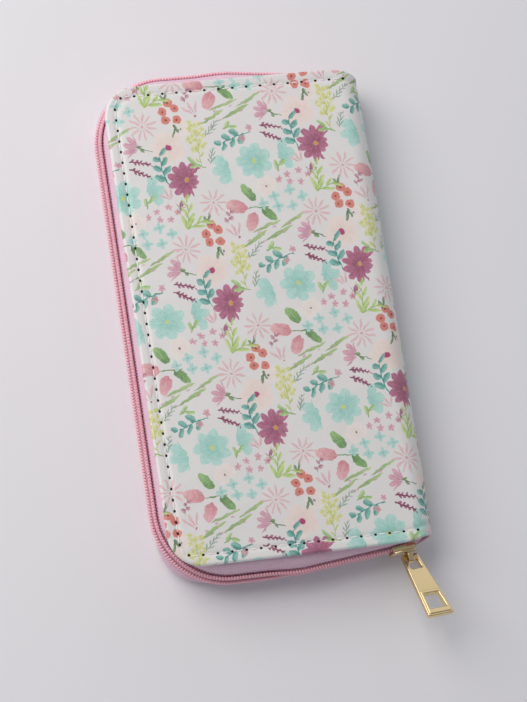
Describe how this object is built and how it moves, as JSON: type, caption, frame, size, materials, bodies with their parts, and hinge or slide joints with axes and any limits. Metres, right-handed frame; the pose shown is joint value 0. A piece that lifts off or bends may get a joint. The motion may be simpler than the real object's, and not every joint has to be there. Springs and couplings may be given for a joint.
{
  "type": "zip-around wallet",
  "caption": "Long wallet with a soft printed cover, a zip round three sides with a slider and puller, card pockets, end gussets and a zipped coin divider.",
  "frame": {"origin": "middle of the back cover's flat outer face, which the closed wallet lies on", "axes": "+X across the wallet towards its spine, +Y along it away from the slider's end, +Z through its thickness, from the back cover to the front cover"},
  "size_m": [0.1077, 0.2258, 0.0231],
  "materials": {
    "printed_cover": "smooth coated fabric, white with a small floral print, semi-gloss",
    "board": "grey board, hidden",
    "lining": "pink woven lining, matt",
    "card_pockets": "pink coated fabric, satin",
    "zip_tape": "pale pink woven tape, matt",
    "zip_teeth": "pink nylon coil",
    "gold_metal": "pale gold plating, polished"
  },
  "bodies": {
    "back": {"back_cover": "printed_cover", "back_board": "board", "back_lining": "lining", "back_card_pocket_1": "card_pockets", "back_card_pocket_2": "card_pockets", "back_card_pocket_3": "card_pockets", "back_card_pocket_4": "card_pockets", "back_zip_tape": "zip_tape", "back_zip_teeth": "zip_teeth"},
    "spine": {"spine_cover": "printed_cover", "spine_lining": "lining", "near_zip_end": "zip_tape", "far_zip_end": "zip_tape", "coin_pocket_back_wall": "lining", "coin_pocket_front_wall": "lining", "coin_pocket_near_binding": "lining", "coin_pocket_far_binding": "lining", "coin_zip_back_tape": "zip_tape", "coin_zip_front_tape": "zip_tape", "coin_zip_back_teeth": "zip_teeth", "coin_zip_front_teeth": "zip_teeth", "near_back_gusset": "lining", "near_front_gusset": "lining", "far_back_gusset": "lining", "far_front_gusset": "lining"},
    "front": {"front_cover": "printed_cover", "front_board": "board", "front_lining": "lining", "front_card_pocket_1": "card_pockets", "front_card_pocket_2": "card_pockets", "front_card_pocket_3": "card_pockets", "front_card_pocket_4": "card_pockets", "front_zip_tape": "zip_tape", "front_zip_teeth": "zip_teeth"},
    "slider": {"slider_body": "gold_metal"},
    "puller": {"puller": "gold_metal"},
    "coin_slider": {"coin_slider_body": "gold_metal"},
    "coin_puller": {"coin_puller": "gold_metal"}
  },
  "joints": [
    {"name": "back_fold", "type": "hinge", "parent": "back", "child": "spine", "pos_m": [0.0515, 0, 0.0082], "axis": [0, 1, 0], "range_deg": [0, 38], "deforming": ["near_back_gusset", "far_back_gusset"]},
    {"name": "front_fold", "type": "hinge", "parent": "spine", "child": "front", "pos_m": [0.0515, 0, 0.0134], "axis": [0, 1, 0], "range_deg": [0, 38], "deforming": ["near_front_gusset", "far_front_gusset"]},
    {"name": "slider_travel", "type": "slide", "parent": "spine", "child": "slider", "axis": [0.9935, 0.1142, 0], "range_m": [-0.033, 0]},
    {"name": "puller_swing", "type": "hinge", "parent": "slider", "child": "puller", "pos_m": [0.04226, -0.09897, 0.0108], "axis": [0.9935, 0.1142, 0], "range_deg": [-22, 36]},
    {"name": "coin_slider_travel", "type": "slide", "parent": "spine", "child": "coin_slider", "axis": [0, 1, 0], "range_m": [0, 0.14]},
    {"name": "coin_puller_swing", "type": "hinge", "parent": "coin_slider", "child": "coin_puller", "pos_m": [-0.047, -0.074, 0.0108], "axis": [0, 0, 1], "range_deg": [0, 15]}
  ],
  "couplings": [
    {"joint": "front_fold", "follows": "back_fold", "ratio": 1}
  ]
}
